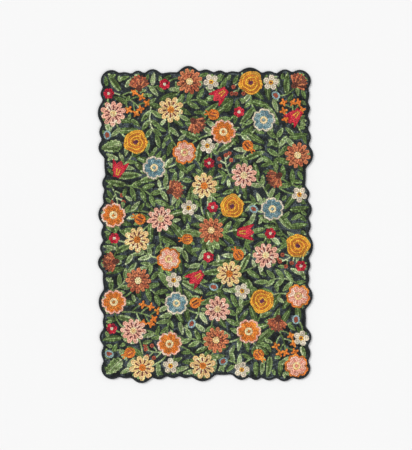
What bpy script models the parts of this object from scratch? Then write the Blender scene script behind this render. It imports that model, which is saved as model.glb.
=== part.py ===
"""A hooked rug that lies flat, with its edge cut round the flowers, buds and leaves at its rim.

It is two sewn pieces. The hooked field is the foundation cloth with its level loop pile. The edge
binding is yarn whipped over the cut edge all the way round. Metres, +Z up, +Y along the rug. The
origin is on the floor, under the middle of the rug.
"""

import bmesh
import bpy
import numpy as np

# Driving sizes of the whole rug
WIDTH = 0.621
LENGTH = 0.914
PILE_TOP = 0.010
PILE_SHOULDER = 0.0025
SHOULDER_STEPS = 2
BINDING_WIDTH = 0.006
BINDING_HEIGHT = 0.008
SEAM_GAP = 0.0003

# The line that the lobes stand on: a rectangle with round corners and a hand-cut wander
LOBE_ROOM = 0.0235
CORNER_RADIUS = 0.034
CORNER_LOBE = {"wide": 0.060, "out": 0.020}
WANDERS = (
    {"out": 0.0025, "every": 0.41, "from": 0.07},
    {"out": 0.0015, "every": 0.19, "from": 0.0},
)
BASE_STEP = 0.0005
POINT_STEP = 0.0066

# What each rim shape is wrapped round: how wide its lobe is and how far it stands out
LOBES = {
    "rose": {"wide": 0.072, "out": 0.021},
    "daisy": {"wide": 0.064, "out": 0.022},
    "blossom": {"wide": 0.052, "out": 0.018},
    "pink": {"wide": 0.040, "out": 0.012},
    "bud": {"wide": 0.040, "out": 0.015},
    "leaf": {"wide": 0.048, "out": 0.014},
    "frond": {"wide": 0.060, "out": 0.005},
    "sprig": {"wide": 0.044, "out": 0.009},
}

# The lobes along each side, walking anticlockwise round the rug as seen from above
SIDES = {
    "bottom": "sprig daisy leaf pink pink rose frond blossom bud leaf blossom",
    "right": "leaf blossom frond daisy sprig pink rose leaf blossom bud frond daisy leaf pink pink sprig",
    "top": "blossom leaf rose sprig pink leaf daisy frond blossom bud sprig",
    "left": "bud rose leaf blossom frond pink sprig daisy leaf bud blossom frond rose sprig blossom leaf",
}

# How a lobe is shaped: its foot reaches under its neighbours, and the notch between them is open
LOBE_REACH = 1.20
LOBE_ROUNDNESS = 0.95
NOTCH_SHARPNESS = 5
NOTCH_EASE = 0.004

# The whipped edge's section, from its seam with the field, as shares of its width and height
BINDING_SECTION = (
    {"out": 0.00, "up": 0.00},
    {"out": 0.88, "up": 0.00},
    {"out": 1.00, "up": 0.42},
    {"out": 0.82, "up": 0.84},
    {"out": 0.45, "up": 1.00},
    {"out": 0.00, "up": 0.88},
)

FINISHES = {
    "hooked_field": {"color": (0.055, 0.105, 0.045), "roughness": 0.95},
    "edge_binding": {"color": (0.011, 0.014, 0.018), "roughness": 0.90},
}


def clear_scene():
    """Empties the scene of whatever it opened with."""
    for obj in list(bpy.data.objects):
        bpy.data.objects.remove(obj, do_unlink=True)


def finish(name):
    """The Principled material of one sub-part."""
    look = FINISHES[name]
    material = bpy.data.materials.new(name)
    material.use_nodes = True
    shader = material.node_tree.nodes["Principled BSDF"]
    shader.inputs["Base Color"].default_value = (*look["color"], 1.0)
    shader.inputs["Roughness"].default_value = look["roughness"]
    shader.inputs["Metallic"].default_value = 0.0
    return material


def base_line():
    """The rounded rectangle's points, its outward normals and the way along it at each point.

    Also returns its whole length and the place of each corner's middle, in walking order.
    """
    half = np.array([WIDTH, LENGTH]) / 2 - LOBE_ROOM
    straights = {"bottom": 2 * (half[0] - CORNER_RADIUS), "right": 2 * (half[1] - CORNER_RADIUS)}
    straights["top"], straights["left"] = straights["bottom"], straights["right"]
    quarter = np.pi / 2 * CORNER_RADIUS
    points, normals, corners, walked = [], [], [], 0.0
    for turn, side in enumerate(SIDES):
        out = np.array([np.sin(turn * np.pi / 2), -np.cos(turn * np.pi / 2)])
        along = np.array([-out[1], out[0]])
        straight = straights[side]
        reach = abs(out @ half)
        steps = np.arange(0.0, straight, BASE_STEP)[:, None]
        points.append(out * reach + along * (steps - straight / 2))
        normals.append(np.repeat(out[None, :], len(steps), axis=0))
        angle = np.arange(0.0, np.pi / 2, BASE_STEP / CORNER_RADIUS)[:, None]
        round_out = np.cos(angle) * out + np.sin(angle) * along
        centre = out * (reach - CORNER_RADIUS) + along * straight / 2
        points.append(centre + CORNER_RADIUS * round_out)
        normals.append(round_out)
        walked += straight + quarter
        corners.append(walked - quarter / 2)
    points, normals = np.concatenate(points), np.concatenate(normals)
    steps = np.linalg.norm(np.roll(points, -1, axis=0) - points, axis=1)
    way = np.concatenate([[0.0], np.cumsum(steps)[:-1]])
    return points, normals, way, steps.sum(), corners


def lobe_places(whole, corners):
    """Yields each lobe's middle, width and standing out, with each side's widths made to fill it."""
    starts = [corners[-1] - whole, *corners[:-1]]
    for side, start, end in zip(SIDES, starts, corners):
        kinds = [LOBES[kind] for kind in SIDES[side].split()]
        fill = (end - start - CORNER_LOBE["wide"]) / sum(kind["wide"] for kind in kinds)
        at = start + CORNER_LOBE["wide"] / 2
        for kind in kinds:
            wide = kind["wide"] * fill
            yield at + wide / 2, wide, kind["out"]
            at += wide
        yield end, CORNER_LOBE["wide"], CORNER_LOBE["out"]


def even_points(points, step):
    """The same closed line with its points spaced evenly, about a step apart."""
    closed = np.concatenate([points, points[:1]])
    way = np.concatenate([[0.0], np.cumsum(np.linalg.norm(np.diff(closed, axis=0), axis=1))])
    count = int(round(way[-1] / step))
    places = np.linspace(0.0, way[-1], count, endpoint=False)
    return np.stack([np.interp(places, way, closed[:, axis]) for axis in (0, 1)], axis=1)


def eased(line, reach):
    """The closed line with each point brought to the middle of those within reach of it."""
    steps = int(reach / BASE_STEP)
    return sum(np.roll(line, shift, axis=0) for shift in range(-steps, steps + 1)) / (2 * steps + 1)


def rug_outline():
    """The rug's outer edge, anticlockwise, brought to the rug's own width and length."""
    points, normals, way, whole, corners = base_line()
    out = np.zeros(len(way))
    for middle, wide, stand in lobe_places(whole, corners):
        across = (way - middle + whole / 2) % whole - whole / 2
        share = across / (wide * LOBE_REACH / 2)
        out += (stand * np.clip(1 - share**2, 0, None) ** LOBE_ROUNDNESS) ** NOTCH_SHARPNESS
    out **= 1 / NOTCH_SHARPNESS
    for wander in WANDERS:
        waves = round(whole / wander["every"])
        out += wander["out"] * np.sin(2 * np.pi * (waves * way / whole + wander["from"]))
    line = even_points(points + normals * out[:, None], BASE_STEP)
    line = even_points(eased(eased(line, NOTCH_EASE), NOTCH_EASE), POINT_STEP)
    low, high = line.min(axis=0), line.max(axis=0)
    return (line - (low + high) / 2) * np.array([WIDTH, LENGTH]) / (high - low)


def inside_line(line, inset):
    """The closed line moved in by the inset, along the normal at each of its points."""
    along = np.roll(line, -1, axis=0) - np.roll(line, 1, axis=0)
    along /= np.linalg.norm(along, axis=1)[:, None]
    return line + inset * np.stack([-along[:, 1], along[:, 0]], axis=1)


def rim_vertices(mesh, line, height):
    """One vertex of the mesh at each point of the line, at one height."""
    return [mesh.verts.new((x, y, height)) for x, y in line]


def wall(mesh, lower, upper):
    """Quads between two rims that have the same number of points."""
    for here in range(len(lower)):
        there = (here + 1) % len(lower)
        mesh.faces.new((lower[here], lower[there], upper[there], upper[here]))


def sub_part(name, mesh):
    """Makes the mesh a named object with its own finish, shaded smooth with its corners sharp."""
    bmesh.ops.recalc_face_normals(mesh, faces=mesh.faces)
    data = bpy.data.meshes.new(name)
    mesh.to_mesh(data)
    mesh.free()
    data.materials.append(finish(name))
    data.shade_smooth()
    data.set_sharp_from_angle(angle=np.radians(40))
    obj = bpy.data.objects.new(name, data)
    bpy.context.scene.collection.objects.link(obj)
    return obj


def hooked_field(outline):
    """The field: flat on the floor, with straight cut sides and a round shoulder up to the pile."""
    line = inside_line(outline, BINDING_WIDTH + SEAM_GAP)
    mesh = bmesh.new()
    rims = [rim_vertices(mesh, line, 0.0)]
    for step in range(SHOULDER_STEPS + 1):
        lean = step / SHOULDER_STEPS * np.pi / 2
        inset = PILE_SHOULDER * (1 - np.cos(lean))
        height = PILE_TOP - PILE_SHOULDER * (1 - np.sin(lean))
        rims.append(rim_vertices(mesh, inside_line(line, inset), height))
        wall(mesh, rims[-2], rims[-1])
    underside = mesh.faces.new(list(reversed(rims[0])))
    pile = mesh.faces.new(rims[-1])
    mesh.normal_update()
    bmesh.ops.triangulate(mesh, faces=[underside, pile], ngon_method="BEAUTY")
    return sub_part("hooked_field", mesh)


def edge_binding(outline):
    """The whipped edge: one closed band round the field, with a flat foot and a round back."""
    mesh = bmesh.new()
    rims = []
    for corner in BINDING_SECTION:
        line = inside_line(outline, BINDING_WIDTH * (1 - corner["out"]))
        rims.append(rim_vertices(mesh, line, BINDING_HEIGHT * corner["up"]))
    for here, rim in enumerate(rims):
        wall(mesh, rim, rims[(here + 1) % len(rims)])
    return sub_part("edge_binding", mesh)


def main():
    """Builds the rug."""
    clear_scene()
    outline = rug_outline()
    hooked_field(outline)
    edge_binding(outline)


if __name__ == "__main__":
    main()
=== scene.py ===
"""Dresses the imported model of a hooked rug: its pile, foundation cloth, whipped edge, floor and light.

The rug lies flat on the floor, face up. The pile is real loops, hooked row by row into a pattern of
flowers and leaves that is drawn here from a seed. The pattern works in millimetres from the rug's
middle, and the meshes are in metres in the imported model's own frame.
"""

import bmesh
import bpy
import numpy as np
from bpy.props import FloatProperty, FloatVectorProperty, IntProperty, PointerProperty
from mathutils import Matrix, Vector


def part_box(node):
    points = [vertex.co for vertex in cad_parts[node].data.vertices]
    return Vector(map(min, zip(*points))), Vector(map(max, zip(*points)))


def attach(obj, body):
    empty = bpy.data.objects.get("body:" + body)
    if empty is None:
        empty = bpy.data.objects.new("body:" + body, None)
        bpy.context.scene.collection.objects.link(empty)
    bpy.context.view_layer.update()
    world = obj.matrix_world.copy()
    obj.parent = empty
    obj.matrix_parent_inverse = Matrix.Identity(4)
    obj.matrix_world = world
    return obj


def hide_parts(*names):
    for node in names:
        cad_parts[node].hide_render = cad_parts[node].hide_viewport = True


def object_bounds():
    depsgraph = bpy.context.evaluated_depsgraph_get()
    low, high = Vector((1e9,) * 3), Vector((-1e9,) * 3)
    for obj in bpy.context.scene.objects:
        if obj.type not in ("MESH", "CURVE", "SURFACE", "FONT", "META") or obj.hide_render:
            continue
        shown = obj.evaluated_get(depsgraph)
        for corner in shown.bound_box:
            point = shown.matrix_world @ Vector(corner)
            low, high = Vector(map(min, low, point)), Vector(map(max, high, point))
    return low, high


bl_info = {
    "name": "Hooked Rug Dressing",
    "version": (1, 0, 0),
    "blender": (4, 5, 0),
    "location": "View3D > Sidebar > Rug",
    "description": "Makes the loop pile, foundation cloth and whipped edge of a hooked rug",
    "category": "Object",
}

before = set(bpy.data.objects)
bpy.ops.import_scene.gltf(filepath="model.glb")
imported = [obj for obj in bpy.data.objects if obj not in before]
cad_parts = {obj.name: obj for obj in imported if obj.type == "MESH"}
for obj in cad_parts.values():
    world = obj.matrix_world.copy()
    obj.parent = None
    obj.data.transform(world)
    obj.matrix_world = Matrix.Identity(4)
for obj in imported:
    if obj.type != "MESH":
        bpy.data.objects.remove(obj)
CAD_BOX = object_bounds()

MM = 0.001
TAU = 2 * np.pi
CELL = 1.0

# Every yarn in the rug, as it is dyed
YARNS = {
    "charcoal": "#2d3537", "slate": "#4a5356", "ink": "#1c2023",
    "bottle": "#526737", "fern": "#6c854b", "moss": "#829960", "sage": "#a2b381", "celery": "#bdc79c",
    "coral": "#f7a088", "pink": "#ffbfa6", "blush": "#ffd4be", "maroon": "#7d3f40",
    "buff": "#fcd392", "straw": "#fce2ae", "ochre": "#e3ab47",
    "clay": "#d9875c", "copper": "#bd6445", "orange": "#eb8435", "amber": "#f59d43",
    "gold": "#fdb63f", "rust": "#d07d32", "plum": "#72394f", "cream": "#e6d9c1",
    "crimson": "#c8223a", "scarlet": "#de424f", "brown": "#945542", "umber": "#6c3b2f",
    "dusk": "#6f939c", "teal": "#98b3b4", "wine": "#9c2338", "brick": "#aa5641",
}

# The yarns that each shape is hooked in, row by row from its edge inwards
MIXES = {
    "ground": ("charcoal",), "stem": ("moss",), "pale_stem": ("sage",),
    "vein": ("sage",), "dark_vein": ("bottle",),
    "fern_leaf": ("fern", "moss", "sage"), "moss_leaf": ("moss", "fern", "sage"),
    "deep_leaf": ("bottle", "fern", "moss"), "sage_leaf": ("sage", "moss", "fern"),
    "bright_leaf": ("moss", "sage", "fern"),
    "pink_petal": ("pink", "pink", "blush"), "buff_petal": ("buff", "straw", "buff"),
    "clay_petal": ("clay", "clay", "copper"), "teal_rim": ("cream", "teal"),
    "pod": ("teal", "brick"), "hip": ("orange", "amber", "rust"),
}
for yarn in YARNS:
    MIXES.setdefault(yarn, (yarn,))
YARN_CODE = {yarn: code for code, yarn in enumerate(YARNS)}
MIX_CODE = {mix: code for code, mix in enumerate(MIXES)}
ROWS_IN_A_MIX = 3
MIX_YARNS = np.array([
    [YARN_CODE[rows[min(row, len(rows) - 1)]] for row in range(ROWS_IN_A_MIX)]
    for rows in MIXES.values()
])

# The darker and the lighter yarn that a strand may be, where its own has run out
NEXT_YARNS = {
    "charcoal": ("ink", "slate"), "bottle": ("bottle", "fern"), "fern": ("bottle", "moss"),
    "moss": ("fern", "sage"), "sage": ("moss", "celery"), "celery": ("sage", "celery"),
    "crimson": ("wine", "scarlet"), "scarlet": ("crimson", "scarlet"), "orange": ("rust", "amber"),
    "gold": ("ochre", "gold"), "pink": ("pink", "blush"), "clay": ("copper", "clay"),
    "brown": ("umber", "copper"), "dusk": ("dusk", "teal"), "buff": ("buff", "straw"),
}
DARKER, LIGHTER = np.array([
    [YARN_CODE[other] for other in NEXT_YARNS.get(yarn, (yarn, yarn))] for yarn in YARNS
]).T

# The pile is joined by colour family, and a family past this many loops is split
MOST_LOOPS = 4200
FAMILIES = {
    "ground": ("charcoal", "slate", "ink"),
    "leaves": ("bottle", "fern", "moss", "sage", "celery"),
}
FAMILIES["flowers"] = tuple(
    yarn for yarn in YARNS if yarn not in FAMILIES["ground"] + FAMILIES["leaves"])
FLOWER_YARNS = [YARN_CODE[yarn] for yarn in FAMILIES["flowers"]]

# The photograph's frame, and where the rug's middle and ends stand in it, in pixels
PICTURE = (412, 450)
RUG_MIDDLE = (205.5, 224.5)
RUG_LONG = 318

# The floor reaches this far each way and lies this far under the rug. Each light has a share of the key
# light's strength, its spread in radians and the place it shines from
FLOOR_HALF = 12.0
FLOOR_GAP = 0.0002
LIGHTS = {
    "key_light": {"share": 1.0, "spread": 0.5, "at": (-3.0, 2.2, 4.6)},
    "fill_light": {"share": 0.5, "spread": 0.8, "at": (3.0, -2.2, 5.0)},
}

# The foundation's undyed cloth, and the width of two of its threads
UNBLEACHED = "#cdbf9f"
TWO_THREADS = 0.0024

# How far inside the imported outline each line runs, in millimetres: less than nothing is outside it
CLOTH_INSET = -2.6
EDGE_INSET = -3.25

# The whipped edge: steps along each turn of its yarn, corners round the edge, and its foot above the
# floor and its half width, in millimetres
TURN_STEPS = 3
EDGE_CORNERS = 8
EDGE_FOOT = 0.1
EDGE_HALF_WIDE = 2.95

# Where the rows lie, as shares of the row pitch: a shape's first row, where the ground's straight rows
# begin, and how far from every loop the cloth is bare
FIRST_ROW = 0.42
STRAIGHT_ROWS_FROM = 1.30
BARE_CLOTH = 0.68

# How near two loops may be, as shares of the loop pitch, when they are hooked and when they are filled in
HOOKED_APART = 0.80
FILLED_APART = 0.72
SETTLING_ROUNDS = 5
LEAST_CLOTH_OF_A_LOOP = 6

# How far a loop's yarn strays with its strand, its neighbours and alone, and when it steps to the next
YARN_STRAYS = {"strand": 0.80, "blotch": 0.30, "loop": 0.40}
LIGHTER_ABOVE = 0.75
DARKER_BELOW = -0.85

# How far a loop's shade strays, how much of that the flowers and the rest show, the shade's limits, and
# how far a loop's heading strays, in radians
SHADE_STRAYS = {"strand": 0.10, "blotch": 0.04, "loop": 0.19, "hue": 0.03}
FLOWER_UNEVENNESS = 0.7
OTHER_UNEVENNESS = 1.3
SHADE_LIMITS = (0.50, 1.55)
HEADING_STRAYS = 0.10

# How a loop is built: how much longer and wider than its share of the cloth it is, how deep its foot
# stands in the cloth and how far it dips at a shape's edge, in metres, and its lean in millimetres
LOOP_LONG = 1.22
LOOP_WIDE = 1.16
LOOP_SUNK = 0.0002
EDGE_DIP = 0.0006
EDGE_DIP_REACH = 5
LOOP_LEAN = 0.6


def linear_colour(text):
    """A colour written as six hexadecimal digits, in Blender's linear values."""
    parts = np.array([int(text[at:at + 2], 16) / 255 for at in (1, 3, 5)])
    return tuple(np.where(parts <= 0.04045, parts / 12.92, ((parts + 0.055) / 1.055) ** 2.4))


class RugSizes(bpy.types.PropertyGroup):
    """Sizes of the loops, cloth and edge."""

    seed: IntProperty(
        name="Pattern seed", description="Which planting of the flowers is drawn", default=20417)
    row_pitch: FloatProperty(
        name="Row pitch", description="From one row of loops to the next",
        default=0.0060, min=0.004, max=0.012, subtype="DISTANCE", unit="LENGTH")
    loop_pitch: FloatProperty(
        name="Loop pitch", description="From one loop to the next along a row",
        default=0.00515, min=0.003, max=0.012, subtype="DISTANCE", unit="LENGTH")
    pile_top: FloatProperty(
        name="Pile top", description="Height of the loops' tops above the floor",
        default=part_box("hooked_field")[1][2] - 0.00035, min=0.004, max=0.03,
        subtype="DISTANCE", unit="LENGTH")
    unevenness: FloatProperty(
        name="Unevenness", description="How far the loops' tops differ in height",
        default=0.00035, min=0.0, max=0.002, subtype="DISTANCE", unit="LENGTH")
    cloth: FloatProperty(
        name="Cloth thickness", description="Thickness of the foundation cloth",
        default=0.0020, min=0.0005, max=0.004, subtype="DISTANCE", unit="LENGTH")
    whip_pitch: FloatProperty(
        name="Whipping pitch", description="From one turn of the edge yarn to the next",
        default=0.0030, min=0.001, max=0.01, subtype="DISTANCE", unit="LENGTH")
    whip_relief: FloatProperty(
        name="Whipping relief", description="How far each turn of the edge yarn stands out",
        default=0.0006, min=0.0, max=0.002, subtype="DISTANCE", unit="LENGTH")


class RugYarns(bpy.types.PropertyGroup):
    """The colour of each yarn."""

    __annotations__ = {
        yarn: FloatVectorProperty(
            name=yarn.title(), description=f"Colour of the {yarn} yarn",
            default=linear_colour(text), min=0.0, max=1.0, size=3, subtype="COLOR")
        for yarn, text in YARNS.items()
    }


class RugStudio(bpy.types.PropertyGroup):
    """Light, floor and camera."""

    floor: FloatVectorProperty(
        name="Floor", description="Colour of the studio floor",
        default=(0.82, 0.82, 0.82), min=0.0, max=1.0, size=3, subtype="COLOR")
    key_strength: FloatProperty(
        name="Key light", description="Strength of the large soft light overhead",
        default=1.81, min=0.0, max=20.0)
    sky_strength: FloatProperty(
        name="Room light", description="Strength of the even light from all round",
        default=0.471, min=0.0, max=10.0)
    lens: FloatProperty(
        name="Lens", description="Focal length of the camera, in millimetres",
        default=100.0, min=20.0, max=400.0)


# The drawn pattern

def polar(u, v):
    """How far each point is from the middle, and in which direction."""
    return np.hypot(u, v), np.arctan2(v, u)


def petals_of(angle, count):
    """Which petal a direction falls in, and how far off the petal's middle it is, from -1 to 1."""
    share = (angle / TAU * count) % count
    petal = np.floor(share).astype(int)
    return petal, (share - petal) * 2 - 1


def turned(points, turn):
    """The points turned round the middle."""
    c, s = np.cos(turn), np.sin(turn)
    return np.asarray(points, float) @ np.array([[c, s], [-s, c]])


def moved(points, at, turn):
    """The points turned and then moved to a place."""
    return turned(points, turn) + np.asarray(at, float)


def bowed(start, end, bow, steps=14):
    """A line from start to end that bows to one side."""
    start, end = np.asarray(start, float), np.asarray(end, float)
    share = np.linspace(0, 1, steps)[:, None]
    way = end - start
    side = np.array([-way[1], way[0]])
    return start + way * share + side * bow * 4 * share * (1 - share) * (0.75 + 0.5 * share)


def walked(line):
    """How far along a line each of its points is."""
    return np.concatenate([[0.0], np.cumsum(np.hypot(*np.diff(line, axis=0).T))])


def spots(line, length, at):
    """The points on a line where its length, or other measure, is at these values."""
    return np.stack([np.interp(at, length, line[:, axis]) for axis in (0, 1)], axis=-1)


def copied(points, at, turn):
    """The points, or each row of them, turned by every turn and moved to every place."""
    c, s = np.cos(turn)[:, None], np.sin(turn)[:, None]
    x = at[:, :1] + points[..., 0] * c - points[..., 1] * s
    y = at[:, 1:] + points[..., 0] * s + points[..., 1] * c
    return np.stack([x, y], axis=-1)


class Drawing:
    """The full-size pattern: which shape every cell of the cloth belongs to, and its mix of yarns."""

    def __init__(self, outline=None, size=(660, 960)):
        across, down = int(size[0] / CELL), int(size[1] / CELL)
        self.low = np.array([-size[0] / 2, -size[1] / 2])
        self.shape = np.zeros((down, across), np.int32)
        self.mix = np.zeros((down, across), np.int16)
        self.last = 1
        self.lines = []
        self.inside = np.ones((down, across), bool) if outline is None else self.within(outline)
        self.shape[self.inside] = 1

    def within(self, outline):
        """The cells whose middles lie inside a closed line."""
        down, across = self.shape.shape
        x = self.low[0] + (np.arange(across) + 0.5) * CELL
        inside = np.zeros((down, across), bool)
        ax, ay = outline.T
        bx, by = np.roll(outline, -1, axis=0).T
        for row in range(down):
            y = self.low[1] + (row + 0.5) * CELL
            cut = (ay > y) != (by > y)
            crossing = ax[cut] + (y - ay[cut]) / (by[cut] - ay[cut]) * (bx[cut] - ax[cut])
            inside[row] = (x[:, None] > crossing[None, :]).sum(axis=1) % 2 == 1
        return inside

    def cells(self, points):
        """Row and column of the cell under each point."""
        at = np.floor((np.asarray(points, float) - self.low) / CELL).astype(int)
        down, across = self.shape.shape
        return np.clip(at[..., 1], 0, down - 1), np.clip(at[..., 0], 0, across - 1)

    def middles(self, rows, columns):
        """The points in the middle of cells."""
        return self.low + (np.stack([columns, rows], axis=-1) + 0.5) * CELL

    def window(self, at, turn, reach):
        """The part of the drawing round a point, with coordinates along and across the turn."""
        down, across = self.shape.shape
        row, column = self.cells(at)
        span = int(reach / CELL) + 2
        rows = slice(max(row - span, 0), min(row + span, down))
        columns = slice(max(column - span, 0), min(column + span, across))
        y = self.low[1] + (np.arange(rows.start, rows.stop) + 0.5) * CELL - at[1]
        x = self.low[0] + (np.arange(columns.start, columns.stop) + 0.5) * CELL - at[0]
        x, y = np.meshgrid(x, y)
        c, s = np.cos(turn), np.sin(turn)
        return (rows, columns), x * c + y * s, y * c - x * s

    def fill(self, at, turn, reach, parts, mix):
        """Draws a shape. parts(u, v) numbers its parts from 1, with 0 outside them, and mix names the
        yarns, or gives a mix code for each cell."""
        where, u, v = self.window(at, turn, reach)
        number = np.asarray(parts(u, v), int)
        drawn = (number > 0) & self.inside[where]
        self.shape[where][drawn] = self.last + number[drawn]
        codes = mix(u, v) if callable(mix) else np.full(u.shape, MIX_CODE[mix])
        self.mix[where][drawn] = codes[drawn]
        self.last += int(number.max(initial=0)) + 1

    def line(self, points, mix, wide=5.4):
        """Draws a single row of loops along a line."""
        points = np.asarray(points, float)
        low, high = points.min(axis=0), points.max(axis=0)
        middle = (low + high) / 2
        where, u, v = self.window(middle, 0.0, np.abs(high - low).max() / 2 + wide)
        away = np.full(u.shape, np.inf)
        for a, b in zip(points[:-1] - middle, points[1:] - middle):
            step = b - a
            share = np.clip(((u - a[0]) * step[0] + (v - a[1]) * step[1]) / max(step @ step, 1e-9), 0, 1)
            away = np.minimum(away, np.hypot(u - a[0] - share * step[0], v - a[1] - share * step[1]))
        drawn = (away < wide / 2) & self.inside[where]
        self.last += 1
        self.shape[where][drawn] = self.last
        self.mix[where][drawn] = MIX_CODE[mix]
        self.lines.append((points, self.last))


# Flowers. Each is drawn round its middle

def petalled(petals, reach):
    """Petals numbered from 1, each as far from the middle as reach(number, off) says."""
    def parts(u, v):
        away, angle = polar(u, v)
        number, off = petals_of(angle, petals)
        return (away < reach(number, off)) * (number + 1)
    return parts


def flecks(drawing, at, turn, size, petals, start, end, mix, wide):
    """A short line between each two petals, from one share of the size to another."""
    for number in range(petals):
        angle = (number + 0.5) / petals * TAU
        way = np.array([np.cos(angle), np.sin(angle)]) * size
        drawing.line(moved([way * start, way * end], at, turn), mix, wide)


def two_lines(drawing, at, turn, start, end, mix, wide):
    """The same line on each side of a motif's middle."""
    for side in (-1, 1):
        drawing.line(moved(np.array([start, end]) * (1, side), at, turn), mix, wide)


def disc(drawing, at, turn, size, mix):
    """A round eye or berry."""
    drawing.fill(at, turn, size, lambda u, v: np.hypot(u, v) < size, mix)


def aster(drawing, at, turn, size, petals, petal, base, fleck, eye, ring):
    """Many slim petals with a dark fleck between each two, round a pale ring."""
    def reach(number, off):
        return size * (1 - 0.07 * ((number * 5) % 3 == 0)) * (1 - 0.34 * np.abs(off) ** 2.6)

    def mix(u, v):
        return np.where(np.hypot(u, v) > 0.50 * size, MIX_CODE[petal], MIX_CODE[base])
    drawing.fill(at, turn, size, petalled(petals, reach), mix)
    flecks(drawing, at, turn, size, petals, 0.34, 0.58, fleck, 3.8)
    disc(drawing, at, turn, size * 0.26, ring)
    disc(drawing, at, turn, size * 0.14, eye)


def dog_rose(drawing, at, turn, size, petals, rim, petal, base, eye):
    """Broad notched petals inside a rim of another yarn, with a fleck between each two."""
    def parts(inset):
        def inside(u, v):
            away, angle = polar(u, v)
            off = petals_of(angle, petals)[1]
            return away < size * (1 - 0.22 * np.abs(off) ** 3 - 0.07 * np.exp(-(off / 0.25) ** 2)) - inset
        return inside
    drawing.fill(at, turn, size, parts(0.0), rim)
    drawing.fill(at, turn, size, parts(6.2), petal)
    flecks(drawing, at, turn, size, petals, 0.30, 0.62, base, 4.2)
    disc(drawing, at, turn, size * 0.32, eye)
    disc(drawing, at, turn, size * 0.12, base)


def cabbage_rose(drawing, at, turn, size, petal, fold, heart):
    """A full rose: one spiral of petals, each with a darker fold along it."""
    turns = 3.3

    def parts(u, v):
        away, angle = polar(u, v)
        edge = size * (
            1 + 0.035 * np.cos(5 * angle) + 0.045 * np.cos(3 * angle + 1) + 0.02 * np.cos(7 * angle))
        return (away < edge) * (np.floor(away / edge * turns + angle / TAU + 0.5).astype(int) + 1)

    def mix(u, v):
        away, angle = polar(u, v)
        spiral = away / size * turns + angle / TAU + 0.5
        folded = (spiral % 1.0 < 0.40) & (away < 0.86 * size)
        return np.where(folded, MIX_CODE[fold], MIX_CODE[petal])
    drawing.fill(at, turn, size * 1.1, parts, mix)
    drawing.fill(at, turn, size, lambda u, v: np.hypot(u / 1.3, v) < size * 0.17, heart)


def blossom(drawing, at, turn, size, petals, notch, petal, ring, eye=None):
    """A small flower with round petals."""
    parts = petalled(petals, lambda number, off: size * (1 - notch * np.abs(off) ** 2.4))
    drawing.fill(at, turn, size, parts, petal)
    disc(drawing, at, turn, size * 0.29, ring)
    if eye:
        disc(drawing, at, turn, size * 0.13, eye)


def tulip(drawing, at, turn, size, petal, heart, streak):
    """An open tulip seen from the side: two petals that curl out and a pointed one between them."""
    def curled(side):
        def inside(u, v):
            share = np.clip(u / size + 0.5, 0, 1)
            middle = side * size * (0.11 + 0.36 * share ** 2)
            half = size * (0.10 + 0.20 * share - 0.30 * share ** 3)
            return (np.abs(u) < size / 2) & (np.abs(v - middle) < half)
        return inside

    def pointed(u, v):
        share = np.clip(u / size + 0.5, 0, 1)
        return (u > -size / 2) & (np.abs(v) < size * 0.30 * np.sin(np.pi * share ** 0.9) ** 0.8)
    for side in (-1, 1):
        drawing.fill(at, turn, size * 0.8, curled(side), petal)
    drawing.fill(at, turn, size * 0.8, pointed, heart)
    two_lines(drawing, at, turn, (-0.34 * size, 0.05 * size), (-0.02 * size, 0.09 * size), streak, 4.2)


def fan_flower(drawing, at, turn, size, petals, spread, petal, streak, cup):
    """A flower seen from the side: a fan of slim petals that opens along the turn, over a cup."""
    foot = -0.38 * size
    long = 0.88 * size

    def fan(u, v):
        away, angle = polar(u - foot, v)
        share = (angle / spread + 1) / 2 * petals
        number = np.floor(share).astype(int)
        off = (share - number) * 2 - 1
        reach = long * (1 - 0.14 * np.abs(off) ** 1.6 - 0.26 * (angle / spread) ** 2)
        return (np.abs(angle) < spread) & (away < reach), number, away

    def parts(u, v):
        inside, number, _ = fan(u, v)
        return inside * (number + 1)

    def mix(u, v):
        _, number, away = fan(u, v)
        return np.where((away > 0.74 * long) | (number % 2 == 1), MIX_CODE[petal], MIX_CODE[streak])
    drawing.fill(at, turn, size, parts, mix)
    drawing.fill(at, turn, size, lambda u, v: np.hypot((u - foot - 0.04 * size) / 1.3, v) < size * 0.17, cup)


def hip(drawing, at, turn, size, skin, line):
    """A ripe hip with the small crown that its petals left."""
    def parts(u, v):
        body = np.hypot(u + 0.15 * size, v * 1.05) < size * 0.42
        flare = np.abs(v) < 0.10 * size + 0.24 * (u - 0.16 * size)
        split = (np.abs(v) > 0.07 * size) | (u < 0.38 * size)
        return np.where(body, 1, 2 * ((u > 0.16 * size) & (u < 0.52 * size) & flare & split))
    drawing.fill(at, turn, size * 0.7, parts, skin)
    two_lines(drawing, at, turn, (-0.32 * size, 0.11 * size), (0.02 * size, 0.11 * size), line, 3.6)


def oval(drawing, at, turn, size, slim, mix):
    """A seed pod."""
    drawing.fill(at, turn, size, lambda u, v: np.hypot(u, v * slim) < size / 2, mix)


def starlet(drawing, at, turn, size, mix):
    """A small flower with four pointed petals."""
    parts = petalled(4, lambda number, off: size * (0.42 + 0.58 * (1 - np.abs(off)) ** 1.1))
    drawing.fill(at, turn, size, parts, mix)


# Leaves and sprays. Each starts at its foot and grows along its turn

def leaf(drawing, at, turn, long, wide, mix, vein=None, teeth=0, bend=0.0, fullness=0.75):
    """A leaf, plain or toothed, that bends to one side."""
    def half(share):
        edge = wide / 2 * np.sin(np.pi * np.clip(share, 0, 1) ** fullness) ** 0.62
        return edge * (1 - 0.24 * ((share * teeth) % 1.0)) if teeth else edge

    def parts(u, v):
        share = u / long
        return (share > 0) & (share < 1) & (np.abs(v - bend * u * share) < half(share))
    drawing.fill(at, turn, long * 1.1, parts, mix)
    if vein:
        share = np.linspace(0.02, 0.80, 9)
        drawing.line(moved(np.stack([share, bend * share ** 2], axis=1) * long, at, turn), vein, 4.6)


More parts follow.
